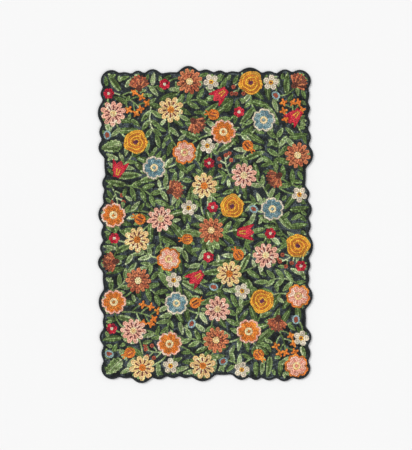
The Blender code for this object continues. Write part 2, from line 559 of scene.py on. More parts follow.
def fingered_leaf(drawing, at, turn, long, mix, vein):
    """A leaf with five rounded fingers."""
    root = moved([(0.16 * long, 0)], at, turn)[0]
    for reach, lean in ((0.62, 1.25), (0.62, -1.25), (0.78, 0.66), (0.78, -0.66), (1.0, 0.0)):
        leaf(drawing, root, turn + lean, long * 0.80 * reach, long * 0.29, mix, fullness=1.15)
    drawing.line(moved([(0, 0), (0.3 * long, 0), (0.62 * long, 0)], at, turn), vein, 4.6)
    two_lines(drawing, at, turn, (0.20 * long, 0), (0.40 * long, 0.16 * long), vein, 4.6)


def heart_leaf(drawing, at, turn, long, mix, vein):
    """A broad leaf with a dent at its foot."""
    def parts(u, v):
        share = u / long
        half = 0.46 * long * np.sin(np.pi * np.clip(share + 0.08, 0, 1) ** 0.62) ** 0.8
        dent = 0.16 * np.exp(-(v / (0.14 * long)) ** 2) - 0.02
        return (share > dent) & (share < 0.92) & (np.abs(v) < half)
    drawing.fill(at, turn, long * 1.1, parts, mix)
    drawing.line(moved([(0.12 * long, 0), (0.70 * long, 0)], at, turn), vein, 4.6)


def sprig(drawing, at, turn, long, pairs, leaf_long, leaf_wide, mix, stem, bow=0.12):
    """A stem with small leaves in pairs and one at its tip."""
    spine = bowed((0, 0), (long, 0), bow)
    drawing.line(moved(spine, at, turn), stem)
    for pair in range(pairs):
        share = (pair + 0.6) / (pairs + 0.3)
        for side in (-1, 1):
            lean = side * (0.85 - 0.15 * share)
            foot = spots(spine, np.linspace(0, 1, len(spine)), share) + turned([(2.0, 0)], lean)[0]
            foot = moved([foot], at, turn)[0]
            leaf(drawing, foot, turn + lean, leaf_long * (1 - 0.25 * share), leaf_wide, mix, fullness=0.9)
    leaf(drawing, moved([spine[-1]], at, turn)[0], turn + 0.1, leaf_long, leaf_wide, mix, fullness=0.9)


def spray(drawing, at, turn, long, ends, stem, tip, size, mix):
    """A stem that forks, with the same small thing at the end of each fork."""
    spine = bowed((0, 0), (long, 0), 0.08)
    tips = []
    for end in range(ends):
        share = 0.28 + 0.72 * end / max(ends - 1, 1)
        side = 0 if end == ends - 1 else (-1) ** end
        foot = spots(spine, np.linspace(0, 1, len(spine)), share)
        point = foot + long * (0.46 - 0.16 * share) * abs(side) * np.array([np.cos(0.8), side * np.sin(0.8)])
        if side:
            drawing.line(moved(bowed(foot, point, side * 0.10, 6), at, turn), stem, 4.8)
        tips.append((point, side * 0.8))
    drawing.line(moved(spine, at, turn), stem, 4.8)
    for point, lean in tips:
        tip(drawing, moved([point], at, turn)[0], turn + lean, size, mix)


def vine(drawing, at, turn, path, mix):
    """A stem that runs between two flowers, along its own path."""
    drawing.line(path, mix)


# What is drawn, with its sizes in millimetres and its yarns
MOTIFS = {
    "pink_aster": dict(draw=aster, size=38, petals=10, petal="pink_petal", base="pink",
                       fleck="maroon", ring="straw", eye="buff"),
    "buff_aster": dict(draw=aster, size=38, petals=9, petal="buff_petal", base="buff",
                       fleck="maroon", ring="orange", eye="rust"),
    "clay_aster": dict(draw=aster, size=38, petals=12, petal="clay_petal", base="clay",
                       fleck="brown", ring="buff", eye="straw"),
    "gold_rose": dict(draw=cabbage_rose, size=34, petal="gold", fold="rust", heart="plum"),
    "pink_rimmed_rose": dict(draw=dog_rose, size=37, petals=6, rim="pink", petal="orange", base="rust",
                             eye="straw"),
    "orange_rimmed_rose": dict(draw=dog_rose, size=36, petals=5, rim="orange", petal="pink", base="coral",
                               eye="buff"),
    "blue_rose": dict(draw=dog_rose, size=35, petals=5, rim="teal_rim", petal="dusk", base="teal",
                      eye="straw"),
    "blossom": dict(draw=blossom, size=23, petals=5, notch=0.40, petal="cream", ring="gold", eye="maroon"),
    "crimson_pink": dict(draw=blossom, size=16, petals=6, notch=0.20, petal="crimson", ring="cream"),
    "tulip": dict(draw=tulip, size=50, petal="crimson", heart="scarlet", streak="ochre"),
    "thistle": dict(draw=fan_flower, size=48, petals=9, spread=1.22, petal="brown", streak="clay",
                    cup="umber"),
    "hip": dict(draw=hip, size=39, skin="hip", line="brown"),
    "pod": dict(draw=oval, size=27, slim=1.2, mix="pod"),
    "star_spray": dict(draw=spray, long=92, ends=6, stem="stem", tip=starlet, size=13.0, mix="orange"),
    "berry_spray": dict(draw=spray, long=62, ends=5, stem="pale_stem", tip=disc, size=6.4, mix="brick"),
    "fern_fingers": dict(draw=fingered_leaf, long=66, mix="moss_leaf", vein="vein"),
    "moss_fingers": dict(draw=fingered_leaf, long=58, mix="fern_leaf", vein="pale_stem"),
    "fern_sprig": dict(draw=sprig, long=98, pairs=3, leaf_long=46, leaf_wide=15.5, mix="fern_leaf",
                       stem="stem"),
    "moss_sprig": dict(draw=sprig, long=86, pairs=3, leaf_long=42, leaf_wide=15, mix="moss_leaf",
                       stem="pale_stem", bow=-0.14),
    "long_fern_leaf": dict(draw=leaf, long=78, wide=23, mix="fern_leaf", vein="vein", bend=0.10),
    "long_moss_leaf": dict(draw=leaf, long=70, wide=22, mix="moss_leaf", vein="dark_vein", bend=-0.12),
    "toothed_leaf": dict(draw=leaf, long=60, wide=41, mix="moss_leaf", vein="vein", teeth=5, fullness=0.7),
    "heart_leaf": dict(draw=heart_leaf, long=46, mix="deep_leaf", vein="pale_stem"),
    "bright_leaf": dict(draw=leaf, long=61, wide=19, mix="bright_leaf", vein="dark_vein", bend=-0.12),
    "deep_leaf": dict(draw=leaf, long=54, wide=18.5, mix="deep_leaf", vein="stem", bend=0.12),
    "fern_leaf": dict(draw=leaf, long=45, wide=16, mix="fern_leaf", bend=0.08),
    "sage_leaf": dict(draw=leaf, long=39, wide=15, mix="sage_leaf", bend=-0.08),
    "small_moss_leaf": dict(draw=leaf, long=33, wide=13.5, mix="moss_leaf"),
    "small_fern_leaf": dict(draw=leaf, long=29, wide=12.5, mix="fern_leaf"),
    "small_sage_leaf": dict(draw=leaf, long=25, wide=12, mix="sage_leaf"),
    "leaflet": dict(draw=leaf, long=19, wide=11.5, mix="moss_leaf"),
}

# What stands in the rim's lobes, in turn, by how wide a lobe is, what is tried where that has no room,
# and which flowers face outwards there
RIM_MOTIFS = (
    {"widest": 400, "motifs": ("gold_rose", "buff_aster", "pink_rimmed_rose", "clay_aster",
                               "orange_rimmed_rose", "pink_aster")},
    {"widest": 58, "motifs": ("blossom", "toothed_leaf", "thistle", "bright_leaf", "blossom", "deep_leaf")},
    {"widest": 40, "motifs": ("crimson_pink", "fern_leaf", "pod", "hip", "deep_leaf")},
)
RIM_FILLERS = ("blossom", "deep_leaf", "sage_leaf", "crimson_pink", "small_fern_leaf", "leaflet")
FACING_FLOWERS = ("thistle", "tulip", "hip")

# What stands inside the rim, and how many of each are tried, in this order
LARGE_FLOWERS = {"pink_aster": 5, "gold_rose": 3, "buff_aster": 4, "pink_rimmed_rose": 3, "blue_rose": 4,
                 "clay_aster": 3, "orange_rimmed_rose": 2}
TALL_FLOWERS = {"tulip": 5, "thistle": 4}
SPRAYS = {"star_spray": 4, "berry_spray": 5, "fern_sprig": 6, "moss_sprig": 6}
SMALL_FLOWERS = {"blossom": 9, "crimson_pink": 9, "hip": 8, "pod": 8}
FLOWERS = (*LARGE_FLOWERS, *TALL_FLOWERS, *SMALL_FLOWERS)

# The leaves tried along a stem and at the rim, in order, and how far apart they stand
STEM_LEAVES = ("bright_leaf", "deep_leaf", "fern_leaf", "sage_leaf", "small_moss_leaf", "small_fern_leaf")
RIM_LEAVES = ("deep_leaf", "fern_leaf", "sage_leaf", "small_fern_leaf", "leaflet")
LEAF_APART = 21.0
RIM_LEAF_APART = 8.0

# The leaves that fill what is left, in order. A leaf's foot may lie this deep under what carries it
LEAVES = (
    {"copies": 14, "tries": 1200, "hidden": 9, "motifs": ("fern_fingers", "moss_fingers")},
    {"copies": 8, "tries": 1200, "hidden": 11, "motifs": ("fern_sprig", "moss_sprig")},
    {"copies": 54, "tries": 1200, "hidden": 11,
     "motifs": ("long_fern_leaf", "long_moss_leaf", "toothed_leaf")},
    {"copies": 66, "tries": 1200, "hidden": 10, "motifs": ("bright_leaf", "deep_leaf", "heart_leaf")},
    {"copies": 90, "tries": 1000, "hidden": 8, "motifs": ("fern_leaf", "sage_leaf")},
    {"copies": 84, "tries": 900, "hidden": 6,
     "motifs": ("small_moss_leaf", "small_fern_leaf", "small_sage_leaf")},
    {"copies": 44, "tries": 900, "hidden": 4, "motifs": ("leaflet",)},
)

# The dark row at the rim, the least gap between two motifs, and how far a foot may stand from what
# carries it, in millimetres
GROUND_ROW = 2.0
LEAST_GAP = 3.0
FOOT_APART = 3

# The most of a leaf that may lie under flowers, the most of a stem that may run over other things, and
# how much more than its like every other flower counts as near
MOST_UNDER_A_FLOWER = 0.42
MOST_OVER_OTHERS = 0.10
ROOM_OF_A_FLOWER = 2.2


class Planting:
    """Finds a place for each motif on the cloth, and then draws stems first and flowers last."""

    def __init__(self, line, rng):
        self.line = line
        self.rng = rng
        self.blank = Drawing(line)
        self.taken = ~self.blank.inside
        self.flowered = np.zeros_like(self.taken)
        self.placed = []
        self.stems = []
        self.footprints = {}

    def places(self, names):
        """Where the motifs with these names are."""
        return [at for name, at, *_ in self.placed if name in names]

    def footprint(self, name):
        """The cells that a motif covers, and those with room for the ground round it."""
        if name not in self.footprints:
            page = Drawing(size=(260, 260))
            draw_motif(page, np.zeros(2), 0.0, MOTIFS[name])
            covered = page.shape > 1
            sparse = np.zeros_like(covered)
            sparse[::3, ::3] = True
            self.footprints[name] = [
                page.middles(*np.nonzero(cells & sparse))
                for cells in (covered, grown(covered, int(LEAST_GAP / CELL)))
            ]
        return self.footprints[name]

    def put(self, name, at, turn):
        """Puts one motif at a place, whatever is there already."""
        self.placed.append((name, np.array(at, float), float(turn), MOTIFS[name]))
        mark = np.zeros_like(self.taken)
        mark[self.blank.cells(moved(self.footprint(name)[0], at, turn))] = True
        mark = grown(mark, 1)
        self.taken |= mark
        if name in FLOWERS:
            self.flowered |= mark

    def put_stem(self, start, end):
        """Puts a stem between two places, bowed to the side where it runs over less, if either will do."""
        bow = self.rng.uniform(0.10, 0.22)
        paths = [bowed(start, end, side * bow, 60) for side in (-1, 1)]
        over = [(self.taken & ~self.flowered)[self.blank.cells(path)].mean() for path in paths]
        if min(over) > MOST_OVER_OTHERS:
            return
        path = paths[int(np.argmin(over))]
        self.stems.append(path)
        self.placed.append(("stem", path[0], 0.0, {"draw": vine, "path": path, "mix": "stem"}))
        mark = np.zeros_like(self.taken)
        mark[self.blank.cells(path)] = True
        self.taken |= grown(mark, 2)

    def put_if_clear(self, names, at, turn, hidden):
        """Puts the first of the named motifs that has room at a place, and tells whether one had."""
        for name in names:
            if self.clear(name, np.array([at], float), np.array([turn]), hidden)[0]:
                self.put(name, at, turn)
                return True
        return False

    def clear(self, name, at, turn, hidden=None):
        """Which of the places and turns have room for a motif. One that grows from something may lie
        partly under flowers, and its foot this deep under anything."""
        room = self.footprint(name)[1]
        if hidden is not None:
            room = room[np.hypot(*room.T) > LEAST_GAP + 2 + hidden]
        cells = self.blank.cells(copied(room, at, turn))
        if hidden is None:
            return ~self.taken[cells].any(axis=1)
        under = self.flowered[cells].mean(axis=1) < MOST_UNDER_A_FLOWER
        return under & ~(self.taken & ~self.flowered)[cells].any(axis=1)

    def settle(self, name, tries, hidden=None):
        """Puts one motif where it is free, as far from others of its name, and a flower from every flower,
        as the tries allow."""
        free = ~self.taken
        if hidden is not None:
            carried = grown(self.taken & self.blank.inside, FOOT_APART) & grown(~self.taken, hidden)
            free = (carried | self.flowered) & self.blank.inside
        rows, columns = np.nonzero(free)
        if not len(rows):
            return
        pick = self.rng.integers(0, len(rows), tries)
        at = self.blank.middles(rows[pick], columns[pick])
        turn = self.rng.uniform(0, TAU, tries)
        clear = np.nonzero(self.clear(name, at, turn, hidden))[0]
        if not len(clear):
            return
        rivals = FLOWERS if name in FLOWERS else ()
        away = np.full(len(clear), np.inf)
        for names, weight in (((name,), 1.0), (rivals, ROOM_OF_A_FLOWER)):
            others = self.places(names)
            if others:
                nearest = np.linalg.norm(at[clear, None] - np.array(others)[None], axis=2).min(axis=1)
                away = np.minimum(away, nearest * weight)
        best = clear[int(np.argmax(away))]
        self.put(name, at[best], turn[best])

    def draw(self):
        """The finished drawing: stems lie lowest, then leaves, then flowers."""
        drawing = Drawing(self.line)
        layered = sorted(self.placed, key=lambda motif: (motif[0] != "stem") + (motif[0] in FLOWERS))
        for _, at, turn, how in layered:
            draw_motif(drawing, at, turn, how)
        return drawing


def draw_motif(drawing, at, turn, how):
    """Draws one motif from its table entry."""
    sizes = dict(how)
    sizes.pop("draw")(drawing, at, turn, **sizes)


def grown(cells, reach):
    """Cells grown by a number of cells each way along the rows and columns."""
    out = cells.copy()
    for step in range(1, reach + 1):
        out[step:] |= cells[:-step]
        out[:-step] |= cells[step:]
    tall = out.copy()
    for step in range(1, reach + 1):
        out[:, step:] |= tall[:, :-step]
        out[:, :-step] |= tall[:, step:]
    return out


def rim_lobes(outline):
    """Each lobe of the edge: its tip, the way inwards from it, and its width between two notches."""
    count = len(outline)
    step = np.roll(outline, -1, axis=0) - outline
    angle = np.arctan2(step[:, 1], step[:, 0])
    bend = (angle - np.roll(angle, 1) + np.pi) % TAU - np.pi
    soft = sum(np.roll(bend, shift) * (4 - abs(shift)) for shift in range(-3, 4))
    notches = [n for n in range(count)
               if soft[n] < 0 and soft[n] == min(soft[(n + d) % count] for d in range(-3, 4))]
    lobes = []
    for start, end in zip(notches, notches[1:] + [notches[0] + count]):
        points = outline[np.arange(start, end + 1) % count]
        chord = points[-1] - points[0]
        wide = np.hypot(*chord)
        inward = np.array([-chord[1], chord[0]]) / max(wide, 1e-9)
        out = (points[0] - points) @ inward
        if wide > 20 and out.max() > 6:
            lobes.append((points[int(np.argmax(out))], inward, wide))
    return lobes


def plant_rim(planting, outline):
    """Fills the lobes of the rim, the widest first, with what the edge is cut round."""
    turns = [0] * len(RIM_MOTIFS)
    for tip, inward, wide in sorted(rim_lobes(outline), key=lambda lobe: -lobe[2]):
        size = max(n for n, row in enumerate(RIM_MOTIFS) if wide <= row["widest"])
        motifs = RIM_MOTIFS[size]["motifs"]
        outward = np.arctan2(-inward[1], -inward[0])
        for name in (motifs[turns[size] % len(motifs)],) + RIM_FILLERS:
            covered, room = planting.footprint(name)
            reach = np.abs(covered).max() if name in FLOWERS else MOTIFS[name]["long"]
            facing = name not in FLOWERS or name in FACING_FLOWERS
            turn = outward if facing else planting.rng.uniform(0, TAU)
            at = tip + inward * (reach + GROUND_ROW + 0.5)
            cells = planting.blank.cells(moved(room, at, turn))
            if not (planting.taken & planting.blank.inside)[cells].any():
                planting.put(name, at, turn)
                break
        turns[size] += 1


def join(planting, names, others, stems, furthest):
    """Joins each motif with one of these names by stems to its nearest neighbours among the others."""
    joined = set()
    ends = planting.places(others)
    for start in planting.places(names):
        away = np.array([np.hypot(*(start - end)) for end in ends])
        for nearest in [n for n in np.argsort(away) if away[n] > 1][:stems]:
            pair = frozenset((tuple(start), tuple(ends[nearest])))
            if away[nearest] < furthest and pair not in joined:
                joined.add(pair)
                planting.put_stem(start, ends[nearest])


def leaf_the_stems(planting):
    """Sets leaves along every stem, in pairs that lean towards its end."""
    for path in planting.stems:
        length = walked(path)
        for number, reach in enumerate(np.arange(LEAF_APART / 2, length[-1], LEAF_APART)):
            foot, ahead = spots(path, length, [reach, reach + 2.0])
            heading = np.arctan2(*(ahead - foot)[::-1])
            for side in (-1, 1):
                first = (number + side) % 2
                lean = side * planting.rng.uniform(0.60, 1.0)
                planting.put_if_clear(STEM_LEAVES[first:], foot, heading + lean, 10)


def leaf_the_rim(planting):
    """Sets leaves with their tips at the rim, where nothing else reaches it."""
    line = planting.line
    length = walked(line)
    for reach in np.arange(0, length[-1], RIM_LEAF_APART):
        tip, ahead = spots(line, length, [reach, reach + 4.0])
        way = (ahead - tip) / np.hypot(*(ahead - tip))
        outward = np.arctan2(-way[0], way[1])
        tip = tip + np.array([-way[1], way[0]]) * (LEAST_GAP + 1.0)
        for lean in planting.rng.uniform(-1.2, 1.2, 7):
            turn = outward + lean
            ends = [(name, tip - MOTIFS[name]["long"] * np.array([np.cos(turn), np.sin(turn)]))
                    for name in RIM_LEAVES]
            if any(planting.put_if_clear((name,), foot, turn, 6) for name, foot in ends):
                break


def draw_pattern(outline, seed):
    """The whole pattern on the cloth inside this outline, with one dark row left all round it."""
    rng = np.random.default_rng(seed)
    planting = Planting(inset_line(outline, GROUND_ROW - LEAST_GAP), rng)
    plant_rim(planting, outline)
    large = [name for name, copies in LARGE_FLOWERS.items() for _ in range(copies)]
    rng.shuffle(large)
    for name in large:
        planting.settle(name, 80)
    join(planting, LARGE_FLOWERS, LARGE_FLOWERS, 2, 140)
    for group, hidden in ((TALL_FLOWERS, None), (SPRAYS, 8)):
        for name, copies in group.items():
            for _ in range(copies):
                planting.settle(name, 1200, hidden)
    small = [name for name, copies in SMALL_FLOWERS.items() for _ in range(copies)]
    rng.shuffle(small)
    for name in small:
        planting.settle(name, 300)
    join(planting, (*TALL_FLOWERS, *SMALL_FLOWERS), FLOWERS, 1, 110)
    leaf_the_stems(planting)
    leaf_the_rim(planting)
    for row in LEAVES:
        for copy in range(row["copies"]):
            planting.settle(row["motifs"][copy % len(row["motifs"])], row["tries"], row["hidden"])
    drawing = planting.draw()
    field = drawing.within(outline)
    drawing.shape[field & (drawing.shape == 0)] = 1
    drawing.inside = field
    return drawing


# The rows of loops

def inset_line(outline, distance):
    """The closed line this far inside an anticlockwise one, or outside it where distance is negative."""
    ahead = np.roll(outline, -1, axis=0) - np.roll(outline, 1, axis=0)
    ahead /= np.linalg.norm(ahead, axis=1)[:, None]
    return outline + np.stack([-ahead[:, 1], ahead[:, 0]], axis=1) * distance


def edge_distance(shape, steps=(32, 16, 8, 4, 2, 1, 1)):
    """How far each cell is from the edge of its own shape, found by looking in ever smaller steps."""
    down, across = shape.shape
    edge = np.zeros(shape.shape, bool)
    for axis in (0, 1):
        for side in (1, -1):
            edge |= np.roll(shape, side, axis) != shape
    rows, columns = np.mgrid[0:down, 0:across].astype(np.int32)
    far = 1 << 14
    near_row = np.where(edge, rows, -far).astype(np.int32)
    near_column = np.where(edge, columns, -far).astype(np.int32)
    best = (near_row - rows) ** 2 + (near_column - columns) ** 2
    for step in steps:
        for dj, di in neighbours(step):
            to, source = shifted(down, across, dj, di)
            row, column = near_row[source], near_column[source]
            away = (row - rows[to]) ** 2 + (column - columns[to]) ** 2
            closer = away < best[to]
            best[to][closer] = away[closer]
            near_row[to][closer] = row[closer]
            near_column[to][closer] = column[closer]
    return (np.sqrt(best) + 0.5) * CELL


def neighbours(step):
    """The eight directions to look in, this many cells away."""
    return [(dj, di) for dj in (-step, 0, step) for di in (-step, 0, step) if dj or di]


def shifted(down, across, dj, di):
    """Matching parts of a drawing and of the same drawing moved by some rows and columns."""
    to = (slice(max(dj, 0), down + min(dj, 0)), slice(max(di, 0), across + min(di, 0)))
    source = (slice(max(-dj, 0), down + min(-dj, 0)), slice(max(-di, 0), across + min(-di, 0)))
    return to, source


def contours(height, level):
    """The lines along which a grid of heights passes a level, as points in columns and rows."""
    down, across = height.shape
    above = height >= level
    rows, columns = np.mgrid[0:down - 1, 0:across - 1]
    flat = rows * across + columns
    upright = down * across
    ids = np.stack([flat, flat + upright + 1, flat + across, flat + upright], axis=-1)
    corners = [above[:-1, :-1], above[:-1, 1:], above[1:, 1:], above[1:, :-1]]
    crossed = np.stack([corners[n] != corners[(n + 1) % 4] for n in range(4)], axis=-1)
    count = crossed.sum(axis=-1)
    twice = ids[count == 2][crossed[count == 2]].reshape(-1, 2)
    saddle = ids[count == 4]
    pairs = np.concatenate([twice, saddle[:, [0, 3]], saddle[:, [1, 2]]])
    if not len(pairs):
        return []
    edges, number = np.unique(pairs, return_inverse=True)
    number = number.reshape(-1, 2)
    links = [[] for _ in edges]
    for a, b in number.tolist():
        links[a].append(b)
        links[b].append(a)
    is_upright = edges >= upright
    row, column = np.divmod(edges % upright, across)
    other = height[row + is_upright, column + ~is_upright]
    share = (level - height[row, column]) / (other - height[row, column])
    points = np.stack([column + share * ~is_upright, row + share * is_upright], axis=1)
    seen = np.zeros(len(edges), bool)
    lines = []
    for start in sorted(range(len(edges)), key=lambda n: len(links[n])):
        if seen[start]:
            continue
        chain = [start]
        seen[start] = True
        while True:
            onward = [n for n in links[chain[-1]] if not seen[n]]
            if not onward:
                break
            chain.append(onward[0])
            seen[onward[0]] = True
        closed = len(chain) > 2 and start in links[chain[-1]]
        lines.append((points[chain], closed))
    return lines


def even_places(line, closed, pitch, start):
    """Points and headings evenly along a line, this far apart or near it."""
    line = np.asarray(line, float)
    if closed:
        line = np.concatenate([line, line[:1]])
    length = walked(line)
    if length[-1] < 0.6 * pitch:
        return line.mean(axis=0)[None], np.zeros(1)
    count = max(int(round(length[-1] / pitch)), 1)
    at = (np.arange(count) + (start if closed else 0.5)) * length[-1] / count
    before, after = np.maximum(at - 2.0, 0), np.minimum(at + 2.0, length[-1])
    way = spots(line, length, after) - spots(line, length, before)
    return spots(line, length, at), np.arctan2(way[:, 1], way[:, 0])


def softened(line, closed):
    """A line with the steps of the drawing's cells smoothed away."""
    for _ in range(3):
        if closed:
            line = (np.roll(line, 1, axis=0) + 2 * line + np.roll(line, -1, axis=0)) / 4
        elif len(line) > 2:
            line = np.concatenate([line[:1], (line[:-2] + 2 * line[1:-1] + line[2:]) / 4, line[-1:]])
    return line


def keep_spaced(points, least, kept=()):
    """Which points to keep, in order, so that none is closer than least to another."""
    grid = {}

    def near(x, y):
        column, row = int(x // least), int(y // least)
        return any(
            (px - x) ** 2 + (py - y) ** 2 < least * least
            for di, dj in [(0, 0), *neighbours(1)] for px, py in grid.get((column + di, row + dj), ()))

    def mark(x, y):
        grid.setdefault((int(x // least), int(y // least)), []).append((x, y))
    for x, y in kept:
        mark(x, y)
    keep = []
    for number, (x, y) in enumerate(points):
        if not near(x, y):
            mark(x, y)
            keep.append(number)
    return np.array(keep, int)


def share_cloth(drawing, points, steps=(8, 4, 2, 1, 1)):
    """The loop that each cell of the cloth belongs to, the nearest of its own shape, or -1."""
    down, across = drawing.shape.shape
    rows, columns = drawing.cells(points)
    mine = drawing.shape[rows, columns]
    owner = np.full(drawing.shape.shape, -1, np.int32)
    owner[rows, columns] = np.arange(len(points))
    x = drawing.low[0] + (np.arange(across) + 0.5) * CELL
    y = drawing.low[1] + (np.arange(down) + 0.5) * CELL
    away = np.full(drawing.shape.shape, np.inf)
    away[rows, columns] = np.hypot(points[:, 0] - x[columns], points[:, 1] - y[rows])
    for step in steps:
        for dj, di in neighbours(step):
            to, source = shifted(down, across, dj, di)
            found = owner[source]
            distance = np.hypot(points[found, 0] - x[None, to[1]], points[found, 1] - y[to[0], None])
            closer = (found >= 0) & (mine[found] == drawing.shape[to])
            closer &= (distance < away[to]) & drawing.inside[to]
            owner[to][closer] = found[closer]
            away[to][closer] = distance[closer]
    return owner, away


def hook_rows(drawing, row, pitch, rng):
    """Every loop's place, heading and strand before they settle: first single rows, then each shape's
    rows from its edge inwards, and last the ground, which echoes the motifs and then runs across. A
    strand is a short run of loops that share one random number, as they share one length of yarn."""
    depth = edge_distance(drawing.shape)
    depth[~drawing.inside] = 0
    single = np.isin(drawing.shape, [number for _, number in drawing.lines])
    places, headings, strands = [], [], []

    def add(point, heading, allowed):
        rows, columns = drawing.cells(point)
        keep = allowed(rows, columns) & drawing.inside[rows, columns]
        run = rng.integers(4, 9)
        places.append(point[keep])
        headings.append(heading[keep])
        strands.append(np.repeat(rng.normal(0, 1, len(point) // run + 1), run)[:len(point)][keep])
    for points, number in drawing.lines:
        point, heading = even_places(points, False, pitch, 0.5)
        add(point, heading, lambda j, i: drawing.shape[j, i] == number)
    inner = np.where(single, 0.0, depth)
    is_ground = drawing.shape == 1
    level = FIRST_ROW * row
    while level < inner.max():
        for line, closed in contours(inner, level):
            line = softened(line, closed)
            point, heading = even_places(line * CELL, closed, pitch, rng.uniform(0, 1))
            point = point + drawing.low + 0.5 * CELL
            first = level < row
            add(point, heading, lambda j, i: first | ~is_ground[j, i])
        level += row
    across = np.arange(-320.0, 320.0, pitch)
    for y in np.arange(-470.0, 470.0, row):
        x = across + rng.uniform(0, pitch)
        wave = 2.2 * np.sin(x / 52 + y / 37) + 1.2 * np.sin(x / 23 + y / 71)
        add(np.stack([x, y + wave], axis=1), 0.05 * np.cos(x / 52 + y / 37),
            lambda j, i: is_ground[j, i] & (inner[j, i] > STRAIGHT_ROWS_FROM * row))
    return np.concatenate(places), np.concatenate(headings), np.concatenate(strands), depth


def settle_loops(drawing, points, headings, strands, depth, row, pitch):
    """Takes out crowded loops, fills bare cloth, and lets the loops share the cloth evenly."""
    keep = keep_spaced(points.tolist(), HOOKED_APART * pitch)
    points, headings, strands = points[keep], headings[keep], strands[keep]
    for number in range(SETTLING_ROUNDS):
        owner, away = share_cloth(drawing, points)
        bare = drawing.inside & ((owner < 0) | (away > BARE_CLOTH * row)) & (depth > CELL)
        rows, columns = np.nonzero(bare)
        order = np.argsort(-np.where(owner[bare] < 0, 50 + depth[bare], away[bare]))
        extra = drawing.middles(rows[order], columns[order])
        extra = extra[keep_spaced(extra.tolist(), FILLED_APART * pitch, points.tolist())]
        if number < SETTLING_ROUNDS - 1 and len(extra):
            nearest = [int(np.argmin(np.hypot(*(points - spot).T))) for spot in extra]
            points = np.concatenate([points, extra])
            headings = np.concatenate([headings, headings[nearest]])
            strands = np.concatenate([strands, strands[nearest]])
            owner, _ = share_cloth(drawing, points)
        rows, columns = np.nonzero(owner >= 0)
        mine = owner[rows, columns]
        spot = drawing.middles(rows, columns)
        area = np.bincount(mine, minlength=len(points))
        safe = np.maximum(area, 1)
        middle = [np.bincount(mine, spot[:, axis], len(points)) / safe for axis in (0, 1)]
        middle = np.stack(middle, axis=1)
        points = np.where(area[:, None] > 0, middle, points)
    off = spot - points[mine]
    c, s = np.cos(headings[mine]), np.sin(headings[mine])
    spread = [np.bincount(mine, part ** 2, len(points)) / safe
              for part in (off[:, 0] * c + off[:, 1] * s, off[:, 1] * c - off[:, 0] * s)]
    size = np.sqrt(12 * np.stack(spread, axis=1) + 0.4)
    size *= np.sqrt(np.clip(1.1 * area * CELL ** 2 / size.prod(axis=1), 0.3, 1.0))[:, None]
    keep = area * CELL ** 2 > LEAST_CLOTH_OF_A_LOOP
    return points[keep], headings[keep], strands[keep], size[keep]


def blotches(rng, points, long, high):
    """Smooth random numbers about 0 at the points, in blotches this long and this high."""
    grid = rng.normal(0, 1, (int(1000 / high) + 2, int(700 / long) + 2))
    at = (points + (350, 500)) / (long, high)
    cell = np.floor(at).astype(int)
    i, j = cell.T
    u, v = ((at - cell) ** 2 * (3 - 2 * (at - cell))).T
    low = grid[j, i] * (1 - u) + grid[j, i + 1] * u
    return low * (1 - v) + (grid[j + 1, i] * (1 - u) + grid[j + 1, i + 1] * u) * v


def hook_loops(drawing, sizes):
    """Every loop of the pile: place, heading, length and width in millimetres, yarn and shade."""
    rng = np.random.default_rng(sizes.seed + 1)
    row, pitch = sizes.row_pitch / MM, sizes.loop_pitch / MM
    points, headings, strands, depth = hook_rows(drawing, row, pitch, rng)
    points, headings, strands, size = settle_loops(drawing, points, headings, strands, depth, row, pitch)
    rows, columns = drawing.cells(points)
    number = np.clip((depth[rows, columns] / row).astype(int), 0, ROWS_IN_A_MIX - 1)
    yarn = MIX_YARNS[drawing.mix[rows, columns], number]
    strays = YARN_STRAYS["strand"] * strands + YARN_STRAYS["blotch"] * blotches(rng, points, 9, 9)
    strays += rng.normal(0, YARN_STRAYS["loop"], len(yarn))
    stepped_down = np.where(strays < DARKER_BELOW, DARKER[yarn], yarn)
    yarn = np.where(strays > LIGHTER_ABOVE, LIGHTER[yarn], stepped_down)
    uneven = np.where(np.isin(yarn, FLOWER_YARNS), FLOWER_UNEVENNESS, OTHER_UNEVENNESS)
    shade = 1 + SHADE_STRAYS["blotch"] * blotches(rng, points, 12, 12) + uneven * (
        SHADE_STRAYS["strand"] * strands + rng.normal(0, SHADE_STRAYS["loop"], len(points)))
    headings = headings + rng.normal(0, HEADING_STRAYS, len(points))
    hue = 1 + rng.normal(0, SHADE_STRAYS["hue"], (len(points), 3))
    return {
        "at": points, "heading": headings,
        "size": np.clip(size, 0.70 * pitch, 1.35 * row), "yarn": yarn,
        "shade": np.clip(shade, *SHADE_LIMITS)[:, None] * hue,
        "edge": depth[rows, columns], "phase": rng.uniform(0, 1, (len(points), 3)),
    }


# Meshes

def as_mesh(bm, name):
    """Ends a bmesh and keeps its mesh."""
    mesh = bpy.data.meshes.new(name)
    bm.to_mesh(mesh)
    bm.free()
    return mesh


def finished(bm, name):
    """Makes an object of a bmesh, with its faces pointing outwards."""
    bmesh.ops.recalc_face_normals(bm, faces=bm.faces)
    return placed(as_mesh(bm, name), name)


def placed(mesh, name):
    """Puts a mesh in the scene as a smooth piece that moves with the rug."""
    mesh.shade_smooth()
    piece = bpy.data.objects.new(name, mesh)
    bpy.context.scene.collection.objects.link(piece)
    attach(piece, "root")
    return piece


def enclosed(line):
    """The area inside a closed line, less than nothing where the line runs clockwise."""
    ahead = np.roll(line, -1, axis=0)
    return (line[:, 0] * ahead[:, 1] - ahead[:, 0] * line[:, 1]).sum() / 2


